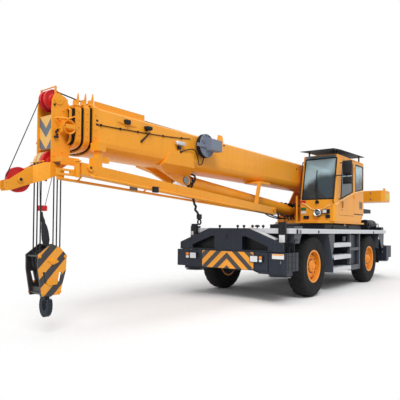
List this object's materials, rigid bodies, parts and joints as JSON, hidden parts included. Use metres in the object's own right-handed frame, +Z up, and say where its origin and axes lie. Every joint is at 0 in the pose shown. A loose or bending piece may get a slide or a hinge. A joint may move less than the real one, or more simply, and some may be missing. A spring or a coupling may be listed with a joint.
{
  "type": "mobile crane",
  "caption": "Two-axle rough-terrain mobile crane with slewing cab and turntable, telescopic boom, stowed jib, hook block and four outriggers.",
  "frame": {"origin": "on the ground, at the bottom centre of the parked crane's box", "axes": "+X to the front of the carrier, along the travelling boom; +Y to the carrier's left, the cab side; +Z up"},
  "size_m": [11.795, 2.9349, 3.324],
  "materials": {
    "orange_paint": "satin",
    "charcoal_paint": "satin",
    "black_paint": "satin",
    "aluminium": "brushed",
    "tyre": "matte",
    "glass": "gloss",
    "red_nylon": "satin",
    "cast_iron": "matte",
    "steel": "satin",
    "chrome": "polished",
    "seat": "matte",
    "blue_grey_paint": "satin"
  },
  "bodies": {
    "chassis": {"chassis_frame": "charcoal_paint", "front_outrigger_box": "charcoal_paint", "rear_outrigger_box": "charcoal_paint", "front_guard": "charcoal_paint", "deck": "charcoal_paint", "deck_rails": "aluminium", "side_treads": "aluminium", "side_frames": "charcoal_paint", "side_tanks": "charcoal_paint", "engine_hood": "black_paint", "engine_block": "cast_iron", "slewing_ring": "steel", "lamp_clusters": "black_paint", "axle_front": "cast_iron", "axle_rear": "cast_iron"},
    "superstructure": {"turntable": "orange_paint", "counterweight": "orange_paint", "winches": "steel", "cab_base": "orange_paint", "cab_shell": "orange_paint", "cab_glass": "glass", "cab_seat": "seat", "cab_controls": "black_paint", "cab_fittings": "black_paint"},
    "cab_door": {"cab_door": "orange_paint", "cab_door_glass": "glass"},
    "lift_barrel": {"lift_cylinder": "orange_paint"},
    "lift_rod": {"lift_rod": "chrome"},
    "boom": {"boom_base": "orange_paint", "fly_jib": "orange_paint", "hose_reel": "blue_grey_paint"},
    "section_2": {"boom_section_2": "orange_paint"},
    "section_3": {"boom_section_3": "orange_paint"},
    "section_4": {"boom_head": "orange_paint", "boom_sheaves": "red_nylon", "aux_nose": "orange_paint"},
    "hook_block": {"hoist_ropes": "steel", "block_cheeks": "orange_paint", "block_sheaves": "cast_iron"},
    "hook": {"hook": "cast_iron"},
    "knuckle_front_left": {"knuckle_front_left": "cast_iron"},
    "wheel_front_left": {"tyre_front_left": "tyre", "rim_front_left": "orange_paint"},
    "knuckle_front_right": {"knuckle_front_right": "cast_iron"},
    "wheel_front_right": {"tyre_front_right": "tyre", "rim_front_right": "orange_paint"},
    "knuckle_rear_left": {"knuckle_rear_left": "cast_iron"},
    "wheel_rear_left": {"tyre_rear_left": "tyre", "rim_rear_left": "orange_paint"},
    "knuckle_rear_right": {"knuckle_rear_right": "cast_iron"},
    "wheel_rear_right": {"tyre_rear_right": "tyre", "rim_rear_right": "orange_paint"},
    "beam_front_left": {"outrigger_beam_front_left": "charcoal_paint"},
    "jack_front_left": {"outrigger_jack_front_left": "steel"},
    "beam_front_right": {"outrigger_beam_front_right": "charcoal_paint"},
    "jack_front_right": {"outrigger_jack_front_right": "steel"},
    "beam_rear_left": {"outrigger_beam_rear_left": "charcoal_paint"},
    "jack_rear_left": {"outrigger_jack_rear_left": "steel"},
    "beam_rear_right": {"outrigger_beam_rear_right": "charcoal_paint"},
    "jack_rear_right": {"outrigger_jack_rear_right": "steel"}
  },
  "joints": [
    {"name": "steer_front_left", "type": "hinge", "parent": "chassis", "child": "knuckle_front_left", "pos_m": [-0.2825, 0.645, 0.64], "axis": [0, 0, 1], "range_deg": [-28, 28]},
    {"name": "spin_front_left", "type": "hinge", "parent": "knuckle_front_left", "child": "wheel_front_left", "pos_m": [-0.2825, 0.913, 0.64], "axis": [0, 1, 0], "continuous": true},
    {"name": "steer_front_right", "type": "hinge", "parent": "chassis", "child": "knuckle_front_right", "pos_m": [-0.2825, -0.955, 0.64], "axis": [0, 0, 1], "range_deg": [-28, 28]},
    {"name": "spin_front_right", "type": "hinge", "parent": "knuckle_front_right", "child": "wheel_front_right", "pos_m": [-0.2825, -1.223, 0.64], "axis": [0, 1, 0], "continuous": true},
    {"name": "steer_rear_left", "type": "hinge", "parent": "chassis", "child": "knuckle_rear_left", "pos_m": [-3.9625, 0.645, 0.64], "axis": [0, 0, 1], "range_deg": [-28, 28]},
    {"name": "spin_rear_left", "type": "hinge", "parent": "knuckle_rear_left", "child": "wheel_rear_left", "pos_m": [-3.9625, 0.913, 0.64], "axis": [0, 1, 0], "continuous": true},
    {"name": "steer_rear_right", "type": "hinge", "parent": "chassis", "child": "knuckle_rear_right", "pos_m": [-3.9625, -0.955, 0.64], "axis": [0, 0, 1], "range_deg": [-28, 28]},
    {"name": "spin_rear_right", "type": "hinge", "parent": "knuckle_rear_right", "child": "wheel_rear_right", "pos_m": [-3.9625, -1.223, 0.64], "axis": [0, 1, 0], "continuous": true},
    {"name": "extend_front_left", "type": "slide", "parent": "chassis", "child": "beam_front_left", "axis": [0, 1, 0], "range_m": [0, 1.75]},
    {"name": "lower_front_left", "type": "slide", "parent": "beam_front_left", "child": "jack_front_left", "axis": [0, 0, -1], "range_m": [0, 0.49]},
    {"name": "extend_front_right", "type": "slide", "parent": "chassis", "child": "beam_front_right", "axis": [0, -1, 0], "range_m": [0, 1.75]},
    {"name": "lower_front_right", "type": "slide", "parent": "beam_front_right", "child": "jack_front_right", "axis": [0, 0, -1], "range_m": [0, 0.49]},
    {"name": "extend_rear_left", "type": "slide", "parent": "chassis", "child": "beam_rear_left", "axis": [0, 1, 0], "range_m": [0, 1.75]},
    {"name": "lower_rear_left", "type": "slide", "parent": "beam_rear_left", "child": "jack_rear_left", "axis": [0, 0, -1], "range_m": [0, 0.49]},
    {"name": "extend_rear_right", "type": "slide", "parent": "chassis", "child": "beam_rear_right", "axis": [0, -1, 0], "range_m": [0, 1.75]},
    {"name": "lower_rear_right", "type": "slide", "parent": "beam_rear_right", "child": "jack_rear_right", "axis": [0, 0, -1], "range_m": [0, 0.49]},
    {"name": "slew", "type": "hinge", "parent": "chassis", "child": "superstructure", "pos_m": [-2.1225, -0.155, 1.56], "axis": [0, 0, 1], "continuous": true},
    {"name": "cab_door_hinge", "type": "hinge", "parent": "superstructure", "child": "cab_door", "pos_m": [-2.5785, 1.139, 2.4], "axis": [0, 0, 1], "range_deg": [0, 85]},
    {"name": "luff", "type": "hinge", "parent": "superstructure", "child": "boom", "pos_m": [-3.5525, -0.155, 2.66], "axis": [0, -1, 0], "range_deg": [0, 78]},
    {"name": "lift_barrel_pivot", "type": "hinge", "parent": "superstructure", "child": "lift_barrel", "pos_m": [-1.9425, -0.155, 1.853], "axis": [0, -1, 0], "range_deg": [0, 84.52]},
    {"name": "lift_rod_slide", "type": "slide", "parent": "lift_barrel", "child": "lift_rod", "axis": [0.9967, 0, 0.0814], "range_m": [0, 2.17767]},
    {"name": "telescope_2", "type": "slide", "parent": "boom", "child": "section_2", "axis": [1, 0, 0], "range_m": [0, 6.7]},
    {"name": "telescope_3", "type": "slide", "parent": "section_2", "child": "section_3", "axis": [1, 0, 0], "range_m": [0, 6.7]},
    {"name": "telescope_4", "type": "slide", "parent": "section_3", "child": "section_4", "axis": [1, 0, 0], "range_m": [0, 6.7]},
    {"name": "block_hang", "type": "hinge", "parent": "section_4", "child": "hook_block", "pos_m": [5.2675, -0.155, 2.215], "axis": [0, -1, 0], "range_deg": [-78, 0]},
    {"name": "hook_swivel", "type": "hinge", "parent": "hook_block", "child": "hook", "pos_m": [5.2675, -0.155, 0.6], "axis": [0, 0, 1], "continuous": true}
  ],
  "couplings": [
    {"joint": "steer_front_right", "follows": "steer_front_left", "ratio": 1},
    {"joint": "steer_rear_right", "follows": "steer_rear_left", "ratio": 1},
    {"joint": "lift_barrel_pivot", "follows": "luff", "ratio": 1.083},
    {"joint": "lift_rod_slide", "follows": "luff", "m_per_rad": 1.5993},
    {"joint": "block_hang", "follows": "luff", "ratio": -1},
    {"joint": "telescope_3", "follows": "telescope_2", "ratio": 1},
    {"joint": "telescope_4", "follows": "telescope_2", "ratio": 1}
  ]
}
